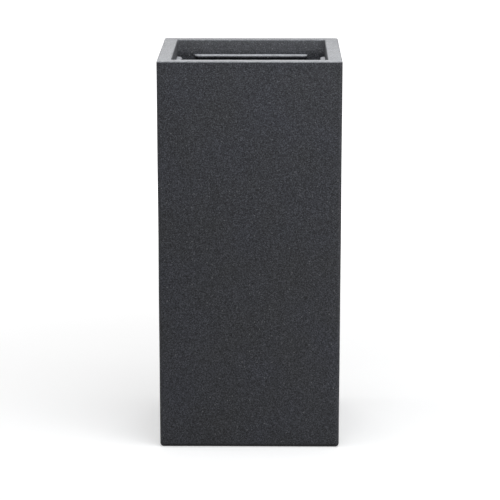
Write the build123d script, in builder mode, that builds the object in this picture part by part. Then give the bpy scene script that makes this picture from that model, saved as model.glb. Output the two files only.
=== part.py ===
from build123d import *
from math import atan, degrees, radians, tan
import os

# Tall square double-walled planter, in millimetres.
# The origin is the centre of the base on the ground, +Z is up and the front is -Y.

# Outside
rim_size = 330.0
base_size = 328.0
height = 711.0
corner_radius = 6.5
rim_outer_radius = 2.5
base_edge_radius = 6.0

# Rim and moulded skin
rim_width = 25.4
rim_inner_radius = 3.0
skin = 3.5
hollow_corner_radius = 8.0

# Space for the soil
cavity_draft = 0.8
cavity_corner_radius = 4.0
lower_corner_radius = 14.0
floor_height = 32.0
floor_edge_radius = 10.0
planting_depth = 325.0
seat_edge_radius = 2.0

# Ledges on the inner walls, one in the middle of each
ledge_length = 213.0
ledge_drop = 28.0
ledge_depth = 9.0
ledge_thickness = 8.0
ledge_edge_radius = 3.5
ledge_end_radius = 6.0

# Underside
foot_ring_width = 30.0
ground_gap = 2.0
channel_width = 28.0
recess_corner_radius = 10.0

# Drain holes and their rubber plugs
drain_spacing = 120.0
drain_radius = 8.0
drain_lead_in = 2.0
plug_clearance = 0.05
plug_flange_radius = 15.0
plug_flange_thickness = 3.5
plug_flange_edge_radius = 1.0
plug_rib_height = 0.8
plug_rib_length = 2.0
plug_rib_count = 3
plug_nose_length = 4.0
plug_nose_taper = 2.0
plug_nose_drop = 1.0
plug_grip_radius = 4.5
plug_grip_depth = 12.0
plug_grip_bar = 2.4

# Vent hole of the hollow wall and its cap
vent_radius = 6.0
vent_clearance = 0.05
vent_flange_radius = 10.0
vent_flange_thickness = 2.0
vent_barb_height = 3.0
vent_barb_reach = 0.8
vent_barb_gap = 0.2

# Loose shelf
shelf_clearance = 1.6
shelf_bearing = 8.0
shelf_corner_radius = 12.0
shelf_plate = 5.0
shelf_edge_radius = 1.5
shelf_skirt_height = 20.0
shelf_skirt_wall = 3.5
shelf_skirt_clearance = 1.0
shelf_rib_wall = 3.0
shelf_rib_rise = 4.0
shelf_cells = 3
shelf_hole_radius = 4.0
shelf_hole_spacing = 34.0
finger_slot_length = 60.0
finger_slot_width = 24.0

# Distance under which two places count as the same, and least stretch left beside a fillet
tolerance = 0.01

# Levels worked out from the sizes above
slope = tan(radians(cavity_draft))
shelf_top = height - planting_depth
seat_height = shelf_top - shelf_plate
ledge_bottom = height - ledge_drop - ledge_thickness
recess_depth = ground_gap + plug_flange_thickness
base_skin_top = recess_depth + skin


def cavity_half(level):
    """Half the width of the upper cavity at a level."""
    return rim_size / 2 - rim_width - slope * (height - level)


# Half widths: the shelf passes between the ledges and lies on the step in the inner walls
ledge_tip = cavity_half(ledge_bottom) - ledge_depth
shelf_half = min(ledge_tip, cavity_half(seat_height)) - shelf_clearance
lower_half_at_seat = shelf_half - shelf_bearing
lower_half_at_floor = lower_half_at_seat - slope * (seat_height - floor_height)
recess_half = base_size / 2 - foot_ring_width

# Fillets, limited by the corners and walls that they run along
base_round = min(base_edge_radius, corner_radius - tolerance)
floor_round = min(floor_edge_radius, lower_corner_radius - tolerance)
ledge_round = min(ledge_edge_radius, ledge_thickness / 2 - tolerance)
ledge_end_round = min(ledge_end_radius, ledge_depth)


def drafted_block(low_level, low_half, high_level, high_half, corner):
    """A square block with flat leaning sides and rounded upright corners."""
    rise = high_level - low_level
    with BuildPart() as block:
        with BuildSketch(Plane.XY.offset(low_level)):
            Rectangle(2 * low_half, 2 * low_half)
        extrude(amount=rise, taper=-degrees(atan((high_half - low_half) / rise)))
        fillet(block.edges().group_by(Axis.Z)[1], corner)
    return block.part


def turned(outline):
    """A solid of revolution about +Z, from its outline of radius and level."""
    with BuildPart() as solid:
        with BuildSketch(Plane.XZ):
            with BuildLine():
                Polyline(*outline, close=True)
            make_face()
        revolve(axis=Axis.Z)
    return solid.part


# Outside of the moulding, and the same form one skin smaller
outer_form = drafted_block(0, base_size / 2, height, rim_size / 2, corner_radius)
outer_lining = drafted_block(
    skin, base_size / 2 - skin, height - skin, rim_size / 2 - skin, hollow_corner_radius)

# Space for the soil: a wide upper part, a step for the shelf and a narrower lower part
upper_space = drafted_block(
    seat_height, cavity_half(seat_height), height, cavity_half(height), cavity_corner_radius)
lower_space = drafted_block(
    floor_height, lower_half_at_floor, seat_height, lower_half_at_seat, lower_corner_radius)
with BuildPart() as cavity:
    add(upper_space)
    add(lower_space)
    fillet(cavity.edges().group_by(Axis.Z)[0], floor_round)

# The same space one skin larger, which the hollow of the wall stays outside
upper_lining = drafted_block(
    seat_height - skin, cavity_half(seat_height) + skin, height, cavity_half(height) + skin,
    cavity_corner_radius + skin)
lower_lining = drafted_block(
    floor_height - skin, lower_half_at_floor + skin, seat_height - skin,
    lower_half_at_seat + skin, lower_corner_radius + skin)

# Hollow between the skins, bridged by a post round each drain hole
with BuildPart() as hollow:
    add(outer_lining)
    add(upper_lining, mode=Mode.SUBTRACT)
    add(lower_lining, mode=Mode.SUBTRACT)
    with BuildSketch(Plane.XY):
        RectangleRounded(
            2 * (recess_half + skin), 2 * (recess_half + skin), recess_corner_radius + skin)
    extrude(amount=base_skin_top, mode=Mode.SUBTRACT)
    with BuildSketch(Plane.XY):
        with GridLocations(drain_spacing, drain_spacing, 2, 2):
            Circle(drain_radius + skin)
    extrude(amount=floor_height, mode=Mode.SUBTRACT)

# Ledge of the back wall, rooted half way into the skin, with its free edges rounded
with BuildPart() as ledge:
    root = cavity_half(ledge_bottom) + skin / 2
    with BuildSketch(Plane.XY.offset(ledge_bottom)) as ledge_plan:
        with Locations((0, root)):
            Rectangle(ledge_length, ledge_depth + skin / 2, align=(Align.CENTER, Align.MAX))
        fillet(ledge_plan.vertices().group_by(Axis.Y)[0], ledge_end_round)
    extrude(amount=ledge_thickness)
    free_edges = ledge.edges().filter_by(lambda edge: edge.center().Y < root - tolerance)
    edge_levels = free_edges.group_by(Axis.Z)
    fillet(edge_levels[0] + edge_levels[-1], ledge_round)

# The moulding: outer walls, rim, inner walls with their ledges and step, floor and base
with BuildPart() as planter_body:
    add(outer_form)
    fillet(planter_body.edges().group_by(Axis.Z)[0], base_round)
    fillet(planter_body.edges().group_by(Axis.Z)[-1], rim_outer_radius)
    add(cavity.part, mode=Mode.SUBTRACT)
    rim_face = planter_body.faces().sort_by(Axis.Z)[-1]
    fillet(rim_face.inner_wires()[0].edges(), rim_inner_radius)
    level_faces = planter_body.faces().filter_by(Plane.XY)
    seat_face = level_faces.filter_by(
        lambda face: abs(face.center().Z - seat_height) < tolerance)[0]
    fillet(seat_face.inner_wires()[0].edges(), seat_edge_radius)
    add(hollow.part, mode=Mode.SUBTRACT)
    with PolarLocations(0, 4):
        add(ledge.part)
    # recess of the underside, with a channel out to the left and to the right
    with BuildSketch(Plane.XY):
        RectangleRounded(2 * recess_half, 2 * recess_half, recess_corner_radius)
    extrude(amount=recess_depth, mode=Mode.SUBTRACT)
    with BuildSketch(Plane.XY):
        Rectangle(base_size, channel_width)
    extrude(amount=ground_gap, mode=Mode.SUBTRACT)
    # drain holes through both skins, with a lead-in on the floor
    with Locations(Plane.XY.offset(floor_height)):
        with GridLocations(drain_spacing, drain_spacing, 2, 2):
            CounterSinkHole(
                drain_radius, drain_radius + drain_lead_in, depth=floor_height,
                counter_sink_angle=90)
    # vent hole through the lower skin only
    with BuildSketch(Plane.XY):
        Circle(vent_radius)
    extrude(amount=base_skin_top, mode=Mode.SUBTRACT)
planter_body.part.label = "planter_body"

# Cap of the vent hole, with a barb that holds it behind the lower skin
vent_stem_radius = vent_radius - vent_clearance
vent_barb_low = base_skin_top + vent_barb_gap
vent_barb_top = vent_barb_low + vent_barb_height
vent_cap = turned([
    (0, recess_depth - vent_flange_thickness),
    (vent_flange_radius, recess_depth - vent_flange_thickness),
    (vent_flange_radius, recess_depth),
    (vent_stem_radius, recess_depth),
    (vent_stem_radius, vent_barb_low),
    (vent_stem_radius + vent_barb_reach, vent_barb_low),
    (vent_stem_radius - vent_barb_reach, vent_barb_top),
    (0, vent_barb_top),
])
with BuildPart() as vent_plug:
    add(vent_cap)
vent_plug.part.label = "vent_plug"

# Rubber stopper of a drain hole: a flange below, sealing ribs on the stem and a tapered nose
plug_seal_radius = drain_radius - plug_clearance
plug_stem_radius = plug_seal_radius - plug_rib_height
plug_nose_top = floor_height - drain_lead_in - plug_nose_drop
plug_nose_low = plug_nose_top - plug_nose_length
plug_rib_pitch = (plug_nose_low - recess_depth) / plug_rib_count
plug_blank = turned([
    (0, ground_gap),
    (plug_flange_radius, ground_gap),
    (plug_flange_radius, recess_depth),
    (plug_stem_radius, recess_depth),
    (plug_stem_radius, plug_nose_low),
    (plug_stem_radius - plug_nose_taper, plug_nose_top),
    (0, plug_nose_top),
])
with BuildPart() as drain_plug:
    add(plug_blank)
    fillet(drain_plug.edges().group_by(Axis.Z)[0], plug_flange_edge_radius)
    for rib in range(plug_rib_count):
        rib_level = plug_nose_low - plug_rib_length - rib * plug_rib_pitch
        with BuildSketch(Plane.XY.offset(rib_level)):
            Circle(plug_seal_radius)
        extrude(amount=plug_rib_length)
    # blind hole of the underside, with a bar across it to pull on
    with BuildSketch(Plane.XY.offset(ground_gap)):
        Circle(plug_grip_radius)
    extrude(amount=plug_grip_depth, mode=Mode.SUBTRACT)
    with BuildSketch(Plane.XY.offset(ground_gap)):
        Rectangle(2 * plug_grip_radius, plug_grip_bar)
    extrude(amount=plug_flange_thickness)

# Loose shelf: a plate with a skirt that centres it in the lower space, and stiffening ribs
skirt_half = lower_half_at_seat - slope * shelf_skirt_height - shelf_skirt_clearance
skirt_inner_half = skirt_half - shelf_skirt_wall
skirt_corner_radius = lower_corner_radius - shelf_skirt_clearance
cell_pitch = 2 * skirt_inner_half / shelf_cells
middle_cell = (shelf_cells - 1) / 2
rib_span = 2 * skirt_half - shelf_skirt_wall

with BuildPart() as insert_shelf:
    with BuildSketch(Plane.XY.offset(seat_height)):
        RectangleRounded(2 * shelf_half, 2 * shelf_half, shelf_corner_radius)
    extrude(amount=shelf_plate)
    fillet(insert_shelf.edges().group_by(Axis.Z)[-1], shelf_edge_radius)
    with BuildSketch(Plane.XY.offset(seat_height)):
        RectangleRounded(2 * skirt_half, 2 * skirt_half, skirt_corner_radius)
        offset(amount=-shelf_skirt_wall, kind=Kind.ARC, mode=Mode.SUBTRACT)
    extrude(amount=-shelf_skirt_height)
    with BuildSketch(Plane.XY.offset(seat_height)):
        for line in range(1, shelf_cells):
            rib_place = line * cell_pitch - skirt_inner_half
            with Locations((rib_place, 0)):
                Rectangle(shelf_rib_wall, rib_span)
            with Locations((0, rib_place)):
                Rectangle(rib_span, shelf_rib_wall)
    extrude(amount=shelf_rib_rise - shelf_skirt_height)
    # finger slots in the left and right cells of the middle row, water holes in all the others
    with BuildSketch(Plane.XY.offset(seat_height)):
        for column in range(shelf_cells):
            for row in range(shelf_cells):
                across = (column - middle_cell) * cell_pitch
                along = (row - middle_cell) * cell_pitch
                with Locations((across, along)):
                    if row == middle_cell and column in (0, shelf_cells - 1):
                        SlotOverall(finger_slot_length, finger_slot_width, rotation=90)
                    else:
                        with GridLocations(shelf_hole_spacing, shelf_hole_spacing, 2, 2):
                            Circle(shelf_hole_radius)
    extrude(amount=shelf_plate, mode=Mode.SUBTRACT)
insert_shelf.part.label = "insert_shelf"

os.makedirs("parts", exist_ok=True)
for piece in (planter_body, insert_shelf, vent_plug):
    export_step(piece.part, f"parts/{piece.part.label}.step")

# One stopper in each drain hole
for side, across in (("left", -drain_spacing / 2), ("right", drain_spacing / 2)):
    for end, along in (("front", -drain_spacing / 2), ("back", drain_spacing / 2)):
        stopper = drain_plug.part.moved(Location((across, along, 0)))
        stopper.label = f"drain_plug_{end}_{side}"
        export_step(stopper, f"parts/{stopper.label}.step")
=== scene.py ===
from math import pi, radians, sin

import bmesh
import bpy
from mathutils import Matrix, Vector


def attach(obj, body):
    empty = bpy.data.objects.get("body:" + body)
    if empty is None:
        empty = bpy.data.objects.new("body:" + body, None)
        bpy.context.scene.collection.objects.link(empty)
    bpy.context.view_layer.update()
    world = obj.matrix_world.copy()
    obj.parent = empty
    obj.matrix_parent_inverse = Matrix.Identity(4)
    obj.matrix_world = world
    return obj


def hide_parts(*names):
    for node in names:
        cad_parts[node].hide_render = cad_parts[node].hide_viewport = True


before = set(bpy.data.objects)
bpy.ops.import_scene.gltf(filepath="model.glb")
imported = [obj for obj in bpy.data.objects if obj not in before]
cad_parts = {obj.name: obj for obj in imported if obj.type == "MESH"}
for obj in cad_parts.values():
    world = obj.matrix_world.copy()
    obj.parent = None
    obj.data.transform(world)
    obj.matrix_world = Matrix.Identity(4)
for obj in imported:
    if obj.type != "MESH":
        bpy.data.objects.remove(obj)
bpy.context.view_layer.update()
print("frame loaded:", sorted(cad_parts))


def addNode(tree, kind, place=(0, 0), **values):
    node = tree.nodes.new(kind)
    node.location = place
    for name, value in values.items():
        setattr(node, name, value)
    return node


def newGroup(name, inputs, outputs):
    group = bpy.data.node_groups.new(name, "ShaderNodeTree")
    for label, kind, value in inputs:
        socket = group.interface.new_socket(label, in_out="INPUT", socket_type=kind)
        if value is not None:
            socket.default_value = value
    for label, kind in outputs:
        group.interface.new_socket(label, in_out="OUTPUT", socket_type=kind)
    return group, addNode(group, "NodeGroupInput", (-1200, 0)), addNode(group, "NodeGroupOutput", (900, 0))


def mathNode(tree, operation, first, second=None, third=None, clamp=False):
    node = addNode(tree, "ShaderNodeMath", operation=operation, use_clamp=clamp)
    for socket, value in zip(node.inputs, (first, second, third)):
        if value is None:
            continue
        if isinstance(value, (int, float)):
            socket.default_value = value
        else:
            tree.links.new(value, socket)
    return node.outputs[0]


def mixColors(tree, blend, factor, first, second):
    node = addNode(tree, "ShaderNodeMix", data_type="RGBA", blend_type=blend)
    for socket, value in ((node.inputs[0], factor), (node.inputs[6], first), (node.inputs[7], second)):
        if isinstance(value, (int, float, tuple)):
            socket.default_value = value
        else:
            tree.links.new(value, socket)
    return node.outputs[2]


def noiseNode(tree, coordinate, scale, detail=2.0, roughness=0.5):
    node = addNode(tree, "ShaderNodeTexNoise", noise_dimensions="3D")
    node.inputs["Detail"].default_value = detail
    node.inputs["Roughness"].default_value = roughness
    tree.links.new(coordinate, node.inputs["Vector"])
    if isinstance(scale, (int, float)):
        node.inputs["Scale"].default_value = scale
    else:
        tree.links.new(scale, node.inputs["Scale"])
    return node


# Specks and painted top light: shares, slopes and scales that every placed group keeps
sharedEffects = {
    "smallestSpeck": 0.16,
    "speckSpread": 0.22,
    "speckSharpness": 9.0,
    "paintedTopStart": -0.05,
    "paintedTopFull": 0.75,
    "paintedTopCloudScale": 28.0,
    "paintedTopCloudReach": 0.5,
}


def makeGrainGroup():
    # Fine moulded grain: a value around 0.5 for colour and height
    group, start, end = newGroup(
        "moulded grain",
        [("Coordinate", "NodeSocketVector", None), ("Grain Size", "NodeSocketFloat", 0.001)],
        [("Grain", "NodeSocketFloat")])
    scale = mathNode(group, "DIVIDE", 1.0, start.outputs["Grain Size"])
    fine = noiseNode(group, start.outputs["Coordinate"], scale, 3.0, 0.6)
    group.links.new(fine.outputs["Fac"], end.inputs["Grain"])
    return group


def makeSpeckGroup(effect):
    # Scattered specks: one in some cells of a Voronoi pattern, each with its own size
    group, start, end = newGroup(
        "scattered specks",
        [("Coordinate", "NodeSocketVector", None), ("Speck Size", "NodeSocketFloat", 0.004),
         ("Share", "NodeSocketFloat", 0.2)],
        [("Mask", "NodeSocketFloat")])
    cells = addNode(group, "ShaderNodeTexVoronoi", voronoi_dimensions="3D", feature="F1")
    group.links.new(start.outputs["Coordinate"], cells.inputs["Vector"])
    group.links.new(mathNode(group, "DIVIDE", 1.0, start.outputs["Speck Size"]), cells.inputs["Scale"])
    split = addNode(group, "ShaderNodeSeparateColor")
    group.links.new(cells.outputs["Color"], split.inputs[0])
    chosen = mathNode(group, "LESS_THAN", split.outputs[0], start.outputs["Share"])
    reach = mathNode(group, "MULTIPLY_ADD", split.outputs[1], effect["speckSpread"], effect["smallestSpeck"])
    inside = mathNode(group, "SUBTRACT", reach, cells.outputs["Distance"])
    soft = mathNode(group, "MULTIPLY", inside, effect["speckSharpness"], clamp=True)
    group.links.new(mathNode(group, "MULTIPLY", soft, chosen), end.inputs["Mask"])
    return group


def makePaintedTopGroup(effect):
    # Painted top light: faces that look up are made paler in uneven clouds, for the light and sheen they
    # catch from above
    group, start, end = newGroup(
        "settled haze",
        [("Coordinate", "NodeSocketVector", None), ("Strength", "NodeSocketFloat", 0.5)],
        [("Mask", "NodeSocketFloat")])
    facing = addNode(group, "ShaderNodeNewGeometry")
    split = addNode(group, "ShaderNodeSeparateXYZ")
    group.links.new(facing.outputs["Normal"], split.inputs[0])
    upward = addNode(group, "ShaderNodeMapRange", interpolation_type="SMOOTHSTEP")
    group.links.new(split.outputs["Z"], upward.inputs["Value"])
    upward.inputs["From Min"].default_value = effect["paintedTopStart"]
    upward.inputs["From Max"].default_value = effect["paintedTopFull"]
    cloud = noiseNode(group, start.outputs["Coordinate"], effect["paintedTopCloudScale"], 4.0, 0.6)
    reach = effect["paintedTopCloudReach"]
    uneven = mathNode(group, "MULTIPLY_ADD", cloud.outputs["Fac"], reach, 1 - reach / 2)
    mask = mathNode(group, "MULTIPLY", upward.outputs["Result"], uneven)
    group.links.new(
        mathNode(group, "MULTIPLY", mask, start.outputs["Strength"], clamp=True), end.inputs["Mask"])
    return group


grainGroup = makeGrainGroup()
speckGroup = makeSpeckGroup(sharedEffects)
paintedTopGroup = makePaintedTopGroup(sharedEffects)


def placeGroup(tree, group, coordinate, **values):
    node = addNode(tree, "ShaderNodeGroup", node_tree=group)
    tree.links.new(coordinate, node.inputs["Coordinate"])
    for name, value in values.items():
        node.inputs[name.replace("_", " ")].default_value = value
    return node


def newMaterial(name, finish):
    material = bpy.data.materials.new(name)
    material.use_nodes = True
    tree = material.node_tree
    tree.nodes.clear()
    out = addNode(tree, "ShaderNodeOutputMaterial", (900, 0))
    shader = addNode(tree, "ShaderNodeBsdfPrincipled", (600, 0))
    tree.links.new(shader.outputs[0], out.inputs["Surface"])
    shader.inputs["Specular IOR Level"].default_value = finish["specular"]
    coordinate = addNode(tree, "ShaderNodeTexCoord", (-900, 0)).outputs["Object"]
    return material, tree, shader, coordinate


def linkRoughness(tree, shader, grain, finish):
    spread = finish["roughnessSpread"]
    rough = mathNode(tree, "MULTIPLY_ADD", grain, 2 * spread, finish["roughness"] - spread)
    tree.links.new(rough, shader.inputs["Roughness"])


def addBump(tree, shader, height, distance):
    bump = addNode(tree, "ShaderNodeBump", (300, -300))
    bump.inputs["Distance"].default_value = distance
    bump.inputs["Strength"].default_value = 1.0
    tree.links.new(height, bump.inputs["Height"])
    tree.links.new(bump.outputs["Normal"], shader.inputs["Normal"])


# Stone speckle plastic of the planter body; colours are linear, sizes in metres
stonePlastic = {
    "base": (0.0288, 0.0293, 0.0305),
    "grainSize": 0.0013,
    "grainTones": ((0.0, 0.20), (0.18, 0.50), (0.36, 0.88), (0.66, 1.06), (0.86, 1.65), (1.0, 2.55)),
    "fineGrainSize": 0.0007,
    "speckSize": 0.0045,
    "speckColor": (0.12, 0.123, 0.13, 1),
    "speckShare": 0.045,
    "patchSize": 0.090,
    "patchStrength": 0.10,
    "patchTint": (0.93, 0.96, 1.18, 1),
    # painted light and shade: top light on faces that look up, stronger below the rim, light on the inner
    # walls, shadow on the foot
    "paintedTopColor": (0.225, 0.230, 0.243),
    "paintedTopStrength": 0.86,
    "paintedTopGrain": 0.32,
    "ledgeTopLight": 1.9,
    "ledgeTopLightFull": 0.686,
    "ledgeTopLightEnd": 0.700,
    "bloomTop": 0.708,
    "bloomBottom": 0.678,
    "bloomStrength": 0.30,
    "bloomSharpness": 9.0,
    "footBottom": 0.0010,
    "footTop": 0.0090,
    "footShadowTone": 0.08,
    "roughness": 0.57,
    "roughnessSpread": 0.10,
    "specular": 0.18,
    "bumpHeight": 0.00010,
}


def heightRamp(tree, coordinate, low, high, lowValue, highValue):
    level = addNode(tree, "ShaderNodeSeparateXYZ")
    tree.links.new(coordinate, level.inputs[0])
    ramp = addNode(tree, "ShaderNodeMapRange", interpolation_type="SMOOTHSTEP")
    tree.links.new(level.outputs["Z"], ramp.inputs["Value"])
    for label, value in (
            ("From Min", low), ("From Max", high), ("To Min", lowValue), ("To Max", highValue)):
        ramp.inputs[label].default_value = value
    return ramp.outputs["Result"]


def paintedMouthLight(tree, coordinate, finish):
    # painted light on the inner walls that fades out a little below the rim
    sides = addNode(tree, "ShaderNodeVectorMath", operation="MULTIPLY")
    tree.links.new(coordinate, sides.inputs[0])
    sides.inputs[1].default_value = (1, 1, 0)
    facing = addNode(tree, "ShaderNodeVectorMath", operation="DOT_PRODUCT")
    tree.links.new(sides.outputs[0], facing.inputs[0])
    tree.links.new(addNode(tree, "ShaderNodeNewGeometry").outputs["Normal"], facing.inputs[1])
    inward = mathNode(tree, "MULTIPLY", facing.outputs["Value"], -finish["bloomSharpness"], clamp=True)
    fade = heightRamp(
        tree, coordinate, finish["bloomBottom"], finish["bloomTop"], 0, finish["bloomStrength"])
    return mathNode(tree, "MULTIPLY", fade, inward)


def makeStonePlastic(finish):
    material, tree, shader, coordinate = newMaterial("stone speckle plastic", finish)
    # granules: one tone in each small cell, from near black to pale
    cells = addNode(tree, "ShaderNodeTexVoronoi", voronoi_dimensions="3D", feature="F1")
    tree.links.new(coordinate, cells.inputs["Vector"])
    cells.inputs["Scale"].default_value = 1 / finish["grainSize"]
    pick = addNode(tree, "ShaderNodeSeparateColor")
    tree.links.new(cells.outputs["Color"], pick.inputs[0])
    tones = addNode(tree, "ShaderNodeValToRGB")
    ramp = tones.color_ramp
    brightest = max(tone for _, tone in finish["grainTones"])
    for number, (position, tone) in enumerate(finish["grainTones"]):
        stop = ramp.elements[number] if number < 2 else ramp.elements.new(position)
        stop.position = position
        stop.color = (tone / brightest, tone / brightest, tone / brightest, 1)
    tree.links.new(pick.outputs[0], tones.inputs[0])
    granule = mathNode(tree, "MULTIPLY", tones.outputs[0], brightest)
    fine = placeGroup(tree, grainGroup, coordinate, Grain_Size=finish["fineGrainSize"]).outputs["Grain"]
    # large soft patches, a little cooler and darker
    patches = noiseNode(tree, coordinate, 1 / finish["patchSize"], 2.0).outputs["Fac"]
    reach = finish["patchStrength"]
    level = mathNode(tree, "MULTIPLY_ADD", patches, 2 * reach, 1 - reach)
    toned = addNode(tree, "ShaderNodeVectorMath", operation="SCALE")
    toned.inputs[0].default_value = finish["base"]
    tree.links.new(mathNode(tree, "MULTIPLY", granule, level), toned.inputs["Scale"])
    cool = mixColors(tree, "MULTIPLY", patches, toned.outputs[0], finish["patchTint"])
    specks = placeGroup(
        tree, speckGroup, coordinate, Speck_Size=finish["speckSize"],
        Share=finish["speckShare"]).outputs["Mask"]
    speckled = mixColors(tree, "MIX", specks, cool, finish["speckColor"])
    # painted top light on faces that look up
    topLight = placeGroup(tree, paintedTopGroup, coordinate, Strength=finish["paintedTopStrength"]).outputs["Mask"]
    painted = addNode(tree, "ShaderNodeVectorMath", operation="SCALE")
    painted.inputs[0].default_value = finish["paintedTopColor"]
    # painted light: the ledges in the mouth, and faces that look up lower down, get a paler painted top
    # light than the rim
    paler = heightRamp(
        tree, coordinate, finish["ledgeTopLightFull"], finish["ledgeTopLightEnd"], finish["ledgeTopLight"], 1)
    showing = mathNode(tree, "MULTIPLY_ADD", granule, finish["paintedTopGrain"], 1 - finish["paintedTopGrain"])
    tree.links.new(mathNode(tree, "MULTIPLY", showing, paler), painted.inputs["Scale"])
    mouthLight = paintedMouthLight(tree, coordinate, finish)
    pale = mathNode(tree, "MAXIMUM", topLight, mouthLight)
    paintedLit = mixColors(tree, "MIX", pale, speckled, painted.outputs[0])
    # painted shadow: the rounded foot is darkened in colour, as it stands in its own shadow
    footShadowed = addNode(tree, "ShaderNodeVectorMath", operation="SCALE")
    tree.links.new(paintedLit, footShadowed.inputs[0])
    shade = heightRamp(tree, coordinate, finish["footBottom"], finish["footTop"], finish["footShadowTone"], 1)
    tree.links.new(shade, footShadowed.inputs["Scale"])
    tree.links.new(footShadowed.outputs[0], shader.inputs["Base Color"])
    linkRoughness(tree, shader, fine, finish)
    height = mathNode(tree, "MULTIPLY_ADD", granule, 0.5, fine)
    addBump(tree, shader, height, finish["bumpHeight"])
    return material


# Plain dark plastics of the shelf and the vent cap, and the rubber of the drain plugs
shelfPlastic = {
    "base": (0.020, 0.020, 0.021),
    "roughness": 0.55,
    "roughnessSpread": 0.08,
    "specular": 0.4,
    "grainSize": 0.0011,
    "toneReach": 0.8,
    "bumpHeight": 0.00006,
}
capPlastic = {
    "base": (0.018, 0.018, 0.018),
    "roughness": 0.42,
    "roughnessSpread": 0.08,
    "specular": 0.4,
    "grainSize": 0.0009,
    "toneReach": 0.8,
    "bumpHeight": 0.00003,
}
plugRubber = {
    "base": (0.012, 0.012, 0.012),
    "roughness": 0.68,
    "roughnessSpread": 0.08,
    "specular": 0.4,
    "grainSize": 0.0007,
    "toneReach": 0.8,
    "bumpHeight": 0.00004,
}


def makePlainPlastic(name, finish):
    material, tree, shader, coordinate = newMaterial(name, finish)
    grain = placeGroup(tree, grainGroup, coordinate, Grain_Size=finish["grainSize"]).outputs["Grain"]
    tone = mathNode(tree, "MULTIPLY_ADD", grain, finish["toneReach"], 1 - finish["toneReach"] / 2)
    toned = addNode(tree, "ShaderNodeVectorMath", operation="SCALE")
    toned.inputs[0].default_value = finish["base"]
    tree.links.new(tone, toned.inputs["Scale"])
    tree.links.new(toned.outputs[0], shader.inputs["Base Color"])
    linkRoughness(tree, shader, grain, finish)
    addBump(tree, shader, grain, finish["bumpHeight"])
    return material


finishes = {
    "planter_body": makeStonePlastic(stonePlastic),
    "insert_shelf": makePlainPlastic("shelf plastic", shelfPlastic),
    "vent_plug": makePlainPlastic("cap plastic", capPlastic),
}
rubber = makePlainPlastic("plug rubber", plugRubber)
for name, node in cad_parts.items():
    node.data.materials.clear()
    node.data.materials.append(finishes.get(name, rubber))
print("finishes on", len(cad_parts), "pieces")

# Planter body: the CAD part's sizes in metres, with a trace of the unevenness of a moulding
planterBody = {
    "rimHalf": 0.165,
    "baseHalf": 0.164,
    "height": 0.711,
    "cornerRadius": 0.0065,
    "baseEdgeRadius": 0.0060,
    "rimOuterRadius": 0.0025,
    "mouthHalf": 0.1396,
    "rimInnerRadius": 0.0030,
    "innerCornerRadius": 0.0040,
    "seatLevel": 0.381,
    "seatHalf": 0.13499,
    "seatEdgeRadius": 0.0020,
    "lowerHalf": 0.12050,
    "lowerCornerRadius": 0.0140,
    "floorLevel": 0.032,
    "floorHalf": 0.11562,
    "floorEdgeRadius": 0.0100,
    "cornerSteps": 8,
    "edgeSteps": 5,
    "edgeReach": 0.006,
    "sharpAngle": 40,
    "sliceStep": 0.048,
    "unevenness": 0.00022,
    "waveLength": 0.24,
    "wavesAcross": ((0.0, 0.7, 1.0), (-0.6, 0.0, 0.45)),
    "wavesAlong": ((-0.75, 0.0, 0.85), (0.0, 0.65, 0.55)),
}
wallLedge = {
    "halfLength": 0.1065,
    "bottom": 0.675,
    "top": 0.683,
    "tip": 0.1301,
    "root": 0.1385,
    "endRadius": 0.0060,
    "edgeRadius": 0.0035,
    "steps": 5,
}
underside = {
    "recessHalf": 0.134,
    "recessRadius": 0.010,
    "recessDepth": 0.0055,
    "channelWidth": 0.028,
    "channelDepth": 0.002,
    "drainPlace": 0.060,
    "drainRadius": 0.008,
    "leadIn": 0.002,
    "ventRadius": 0.0068,
    "ventTop": 0.0126,
    "holeSteps": 48,
    "cutPast": 0.01,
}


def newPiece(name, shape):
    mesh = bpy.data.meshes.new(name)
    shape.to_mesh(mesh)
    shape.free()
    piece = bpy.data.objects.new(name, mesh)
    bpy.context.scene.collection.objects.link(piece)
    return piece


def roundEdges(shape, edges, radius, steps):
    bmesh.ops.bevel(
        shape, geom=edges, offset=radius, offset_type="OFFSET", segments=steps, profile=0.5,
        affect="EDGES", material=-1, clamp_overlap=False)


sameLevel = 1e-5  # metres within which two places count as the same
cutTolerance = 1e-6


def farthest(point):
    return max(abs(point.x), abs(point.y))


def levelEdges(shape, level, half=0.0, reach=1.0):
    # edges that lie at a level and about as far from the middle as asked
    return [
        edge for edge in shape.edges
        if all(
            abs(vert.co.z - level) < sameLevel and abs(farthest(vert.co) - half) < reach
            for vert in edge.verts)]


def addBlock(shape, low, lowHalf, high, highHalf, corner, steps, openFaces=(), inside=False):
    # a drafted square block with rounded uprights, open at the ends named, turned inside out for a space
    old = set(shape.faces)
    made = bmesh.ops.create_cube(shape, size=2.0)["verts"]
    for vert in made:
        half, level = (highHalf, high) if vert.co.z > 0 else (lowHalf, low)
        vert.co = Vector((vert.co.x * half, vert.co.y * half, level))
    uprights = [
        edge for edge in shape.edges
        if edge.verts[0] in made and abs(edge.verts[0].co.z - edge.verts[1].co.z) > sameLevel]
    roundEdges(shape, uprights, corner, steps)
    shape.normal_update()
    ends = [
        face for face in shape.faces
        if face not in old and abs(face.normal.z) > 0.9
        and ("top" if face.calc_center_median().z > (low + high) / 2 else "bottom") in openFaces]
    bmesh.ops.delete(shape, geom=ends, context="FACES_ONLY")
    if inside:
        bmesh.ops.reverse_faces(shape, faces=[face for face in shape.faces if face not in old])


def innerWall(shape, body, out):
    # flat faces of the upper inner wall that lies in one direction from the middle
    shape.normal_update()
    return [
        face for face in shape.faces
        if face.normal.dot(out) < -0.99 and face.calc_center_median().z > body["seatLevel"]
        and abs(face.calc_center_median().dot(out) - body["mouthHalf"]) < body["edgeReach"]]


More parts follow.
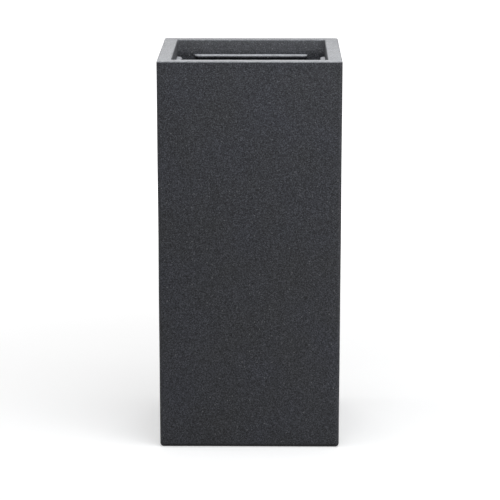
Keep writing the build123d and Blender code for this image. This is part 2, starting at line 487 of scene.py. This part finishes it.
def raiseLedges(shape, body, ledge):
    # four ledges pulled out of the middle of the inner walls
    for turn in range(4):
        across = Matrix.Rotation(radians(90 * turn), 3, "Z") @ Vector((1, 0, 0))
        out = Matrix.Rotation(radians(90 * turn), 3, "Z") @ Vector((0, 1, 0))
        up = Vector((0, 0, 1))
        for place, direction in (
                (up * ledge["bottom"], up), (up * ledge["top"], up),
                (-across * ledge["halfLength"], across), (across * ledge["halfLength"], across)):
            faces = innerWall(shape, body, out)
            edges = [edge for edge in shape.edges if any(face in faces for face in edge.link_faces)]
            verts = [vert for vert in shape.verts if any(face in faces for face in vert.link_faces)]
            bmesh.ops.bisect_plane(
                shape, geom=verts + edges + faces, plane_co=place, plane_no=direction, dist=cutTolerance)
        patch = [
            face for face in innerWall(shape, body, out)
            if ledge["bottom"] < face.calc_center_median().z < ledge["top"]
            and abs(face.calc_center_median().dot(across)) < ledge["halfLength"]]
        pulled = bmesh.ops.extrude_discrete_faces(shape, faces=patch)["faces"][0]
        for vert in pulled.verts:
            vert.co += out * (ledge["tip"] - vert.co.dot(out))
        ends = [edge for edge in pulled.edges if abs(edge.verts[0].co.z - edge.verts[1].co.z) > sameLevel]
        roundEdges(shape, ends, ledge["endRadius"], ledge["steps"])
        free = [
            edge for side in ("top", "bottom") for edge in shape.edges
            if all(
                abs(vert.co.z - ledge[side]) < sameLevel and vert.co.dot(out) < ledge["root"]
                and abs(vert.co.dot(across)) < ledge["halfLength"] + sameLevel
                and vert.co.dot(out) > ledge["tip"] - sameLevel for vert in edge.verts)
            and edge.calc_face_angle(0) > 1]
        roundEdges(shape, free, ledge["edgeRadius"], ledge["steps"])


def cutAway(piece, shape):
    # takes a closed shape out of a piece
    cutter = newPiece("cutter", shape)
    cut = piece.modifiers.new("cut", "BOOLEAN")
    cut.operation = "DIFFERENCE"
    cut.solver = "EXACT"
    cut.object = cutter
    result = bpy.data.meshes.new_from_object(piece.evaluated_get(bpy.context.evaluated_depsgraph_get()))
    piece.modifiers.remove(cut)
    piece.data = result
    bpy.data.objects.remove(cutter)


def roundedBlock(half, radius, steps, low, high):
    shape = bmesh.new()
    addBlock(shape, low, half, high, half, radius, steps)
    return shape


def drainCones(values, low, lowRadius, high, highRadius):
    shape = bmesh.new()
    for across in (-1, 1):
        for along in (-1, 1):
            place = (across * values["drainPlace"], along * values["drainPlace"], (low + high) / 2)
            bmesh.ops.create_cone(
                shape, cap_ends=True, segments=values["holeSteps"], radius1=lowRadius, radius2=highRadius,
                depth=high - low, matrix=Matrix.Translation(place))
    return shape


def sliceForm(shape, place, direction):
    everything = shape.verts[:] + shape.edges[:] + shape.faces[:]
    bmesh.ops.bisect_plane(shape, geom=everything, plane_co=place, plane_no=direction, dist=cutTolerance)


def wallStray(place, waves, body):
    # how far a place strays from flat: the mean of a few slow waves
    heights = [sin(2 * pi * place.dot(Vector(wave)) / body["waveLength"]) for wave in waves]
    return body["unevenness"] * sum(heights) / len(heights)


def unevenMoulding(shape, body):
    # walls and rim stray a little from flat, inside the size of the part
    step = body["sliceStep"]
    for number in range(1, int(body["height"] / step) + 1):
        sliceForm(shape, (0, 0, number * step), (0, 0, 1))
    for number in (-2, -1, 0, 1, 2):
        sliceForm(shape, (number * step, 0, 0), (1, 0, 0))
        sliceForm(shape, (0, number * step, 0), (0, 1, 0))
    shrink = 1 - 1.1 * body["unevenness"] / body["rimHalf"]
    for vert in shape.verts:
        across = wallStray(vert.co, body["wavesAcross"], body)
        along = wallStray(vert.co, body["wavesAlong"], body)
        vert.co.x = vert.co.x * shrink + across
        vert.co.y = vert.co.y * shrink + along


def smoothForm(piece, sharpAngle):
    # smooth shading that stays flat on the flat faces and breaks at real edges
    shape = bmesh.new()
    shape.from_mesh(piece.data)
    bmesh.ops.remove_doubles(shape, verts=shape.verts, dist=cutTolerance)
    bmesh.ops.recalc_face_normals(shape, faces=shape.faces)
    for face in shape.faces:
        face.smooth = True
    for edge in shape.edges:
        edge.smooth = len(edge.link_faces) == 2 and edge.calc_face_angle() < radians(sharpAngle)
    shape.to_mesh(piece.data)
    shape.free()
    even = piece.modifiers.new("even shading", "WEIGHTED_NORMAL")
    even.keep_sharp = True


def makePlanterBody(body, ledge, under):
    shape = bmesh.new()
    steps = body["cornerSteps"]
    addBlock(
        shape, 0, body["baseHalf"], body["height"], body["rimHalf"], body["cornerRadius"], steps, ("top",))
    addBlock(
        shape, body["seatLevel"], body["seatHalf"], body["height"], body["mouthHalf"],
        body["innerCornerRadius"], steps, ("top", "bottom"), inside=True)
    addBlock(
        shape, body["floorLevel"], body["floorHalf"], body["seatLevel"], body["lowerHalf"],
        body["lowerCornerRadius"], steps, ("top",), inside=True)
    for level in (body["height"], body["seatLevel"]):
        bmesh.ops.bridge_loops(shape, edges=levelEdges(shape, level))
    bmesh.ops.recalc_face_normals(shape, faces=shape.faces)
    for level, half, radius in (
            (body["height"], body["rimHalf"], body["rimOuterRadius"]),
            (body["height"], body["mouthHalf"], body["rimInnerRadius"]),
            (body["seatLevel"], body["lowerHalf"], body["seatEdgeRadius"]),
            (body["floorLevel"], body["floorHalf"], body["floorEdgeRadius"]),
            (0, body["baseHalf"], body["baseEdgeRadius"])):
        edges = levelEdges(shape, level, half, body["edgeReach"])
        roundEdges(shape, edges, radius, body["edgeSteps"])
    raiseLedges(shape, body, ledge)
    unevenMoulding(shape, body)
    bmesh.ops.recalc_face_normals(shape, faces=shape.faces)
    piece = newPiece("planter_shell", shape)
    print("planter shell formed:", len(piece.data.polygons), "faces")
    past = under["cutPast"]
    cutAway(piece, roundedBlock(
        under["recessHalf"], under["recessRadius"], steps, -past, under["recessDepth"]))
    channel = bmesh.new()
    bmesh.ops.create_cube(channel, size=1.0)
    bmesh.ops.scale(
        channel, verts=channel.verts,
        vec=(2 * (body["rimHalf"] + past), under["channelWidth"], 2 * under["channelDepth"]))
    cutAway(piece, channel)
    top = body["floorLevel"]
    radius = under["drainRadius"]
    cutAway(piece, drainCones(under, -past, radius, top + past, radius))
    cutAway(piece, drainCones(
        under, top - under["leadIn"], radius, top + under["leadIn"], radius + 2 * under["leadIn"]))
    vent = bmesh.new()
    bmesh.ops.create_cone(
        vent, cap_ends=True, segments=under["holeSteps"], radius1=under["ventRadius"],
        radius2=under["ventRadius"], depth=2 * under["ventTop"])
    cutAway(piece, vent)
    smoothForm(piece, body["sharpAngle"])
    piece.data.materials.clear()
    piece.data.materials.append(finishes["planter_body"])
    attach(piece, "planter")
    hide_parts("planter_body")
    print("planter shell finished:", len(piece.data.polygons), "faces")


makePlanterBody(planterBody, wallLedge, underside)

# Studio: white surround and pale floor, as wide as the other views need
studio = {
    "surroundLevel": 0.34,
    "floorSize": 60.0,
    "floorColor": (0.80, 0.80, 0.80, 1),
    "floorLift": 0.36,
    "liftStart": 0.7,
    "liftEnd": 2.6,
}


def seenDirectly(tree):
    # 1 for what the camera sees, also in a reflection or through a clear piece
    ray = addNode(tree, "ShaderNodeLightPath")
    seen = mathNode(tree, "MAXIMUM", ray.outputs["Is Camera Ray"], ray.outputs["Is Glossy Ray"])
    return mathNode(tree, "MAXIMUM", seen, ray.outputs["Is Transmission Ray"])


def makeFloor(values):
    bpy.ops.mesh.primitive_plane_add(size=values["floorSize"])
    floor = bpy.context.object
    floor.name = "studio_floor"
    material = bpy.data.materials.new("pale floor")
    material.use_nodes = True
    tree = material.node_tree
    shader = tree.nodes["Principled BSDF"]
    shader.inputs["Base Color"].default_value = values["floorColor"]
    shader.inputs["Roughness"].default_value = 0.9
    shader.inputs["Specular IOR Level"].default_value = 0.0
    shader.inputs["Emission Color"].default_value = (1, 1, 1, 1)
    coordinate = addNode(tree, "ShaderNodeTexCoord").outputs["Object"]
    length = addNode(tree, "ShaderNodeVectorMath", operation="LENGTH")
    tree.links.new(coordinate, length.inputs[0])
    far = addNode(tree, "ShaderNodeMapRange", interpolation_type="SMOOTHSTEP")
    tree.links.new(length.outputs["Value"], far.inputs["Value"])
    far.inputs["From Min"].default_value = values["liftStart"]
    far.inputs["From Max"].default_value = values["liftEnd"]
    far.inputs["To Min"].default_value = values["floorLift"]
    far.inputs["To Max"].default_value = 1.0
    seen = seenDirectly(tree)
    lift = mathNode(tree, "MULTIPLY", far.outputs["Result"], seen)
    tree.links.new(lift, shader.inputs["Emission Strength"])
    floor.data.materials.append(material)


def makeSurround(level):
    world = bpy.data.worlds.new("white surround")
    bpy.context.scene.world = world
    world.use_nodes = True
    tree = world.node_tree
    background = tree.nodes["Background"]
    background.inputs["Color"].default_value = (1, 1, 1, 1)
    seen = seenDirectly(tree)
    strength = mathNode(tree, "MULTIPLY_ADD", seen, 1.0 - level, level)
    tree.links.new(strength, background.inputs["Strength"])


# Soft boxes round the planter, hidden from the camera
softBoxes = {
    "above": {"place": (0.05, -0.30, 1.30), "aim": (0, -0.05, 0.71), "size": (0.8, 0.5), "power": 3.4},
    "key": {"place": (0.24, -0.75, 1.25), "aim": (0.03, -0.165, 0.70), "size": (0.9, 0.3), "power": 4.4,
            "color": (0.93, 0.97, 1.0)},
    "high": {"place": (0, -0.1, 1.9), "aim": (0, 0, 0.7), "size": (1.2, 1.0), "power": 1.5},
    "corner": {"place": (0.85, -0.80, 0.27), "aim": (0.05, -0.165, 0.55), "size": (0.5, 0.4), "power": 2.4},
    "left": {"place": (-2.0, 0.0, 1.6), "aim": (0, 0, 0.5), "size": (1.2, 1.2), "power": 9.2},
    "right": {"place": (2.0, -0.4, 1.6), "aim": (0, 0, 0.5), "size": (1.2, 1.2), "power": 7.6},
    "behind": {"place": (-0.1, 1.9, 1.5), "aim": (0, 0.1, 0.3), "size": (1.6, 0.9), "power": 12},
}


def makeSoftBoxes(boxes):
    for name, values in boxes.items():
        light = bpy.data.lights.new(name, "AREA")
        light.shape = "RECTANGLE"
        light.size, light.size_y = values["size"]
        light.energy = values["power"]
        light.color = values.get("color", (1, 1, 1))
        box = bpy.data.objects.new(name, light)
        bpy.context.scene.collection.objects.link(box)
        box.location = values["place"]
        aim = Vector(values["aim"]) - Vector(values["place"])
        box.rotation_euler = aim.to_track_quat("-Z", "Y").to_euler()
        box.visible_camera = False


# Camera: a long lens a little above the rim, as in the photograph
cameraView = {
    "place": (0.041, -4.125, 1.260),
    "tiltDown": 12.66,
    "turnLeft": 0.58,
    "focalPixels": 2259,
    "framePixels": 500,
    "sensorWidth": 36.0,
}


def makeCamera(values):
    data = bpy.data.cameras.new("camera")
    data.sensor_width = values["sensorWidth"]
    data.lens = values["focalPixels"] / values["framePixels"] * values["sensorWidth"]
    data.clip_end = 100
    camera = bpy.data.objects.new("camera", data)
    bpy.context.scene.collection.objects.link(camera)
    camera.location = values["place"]
    camera.rotation_euler = (radians(90 - values["tiltDown"]), 0, radians(values["turnLeft"]))
    bpy.context.scene.camera = camera


makeFloor(studio)
makeSurround(studio["surroundLevel"])
makeSoftBoxes(softBoxes)
makeCamera(cameraView)
bpy.context.scene.view_settings.view_transform = "Standard"
print("studio ready")
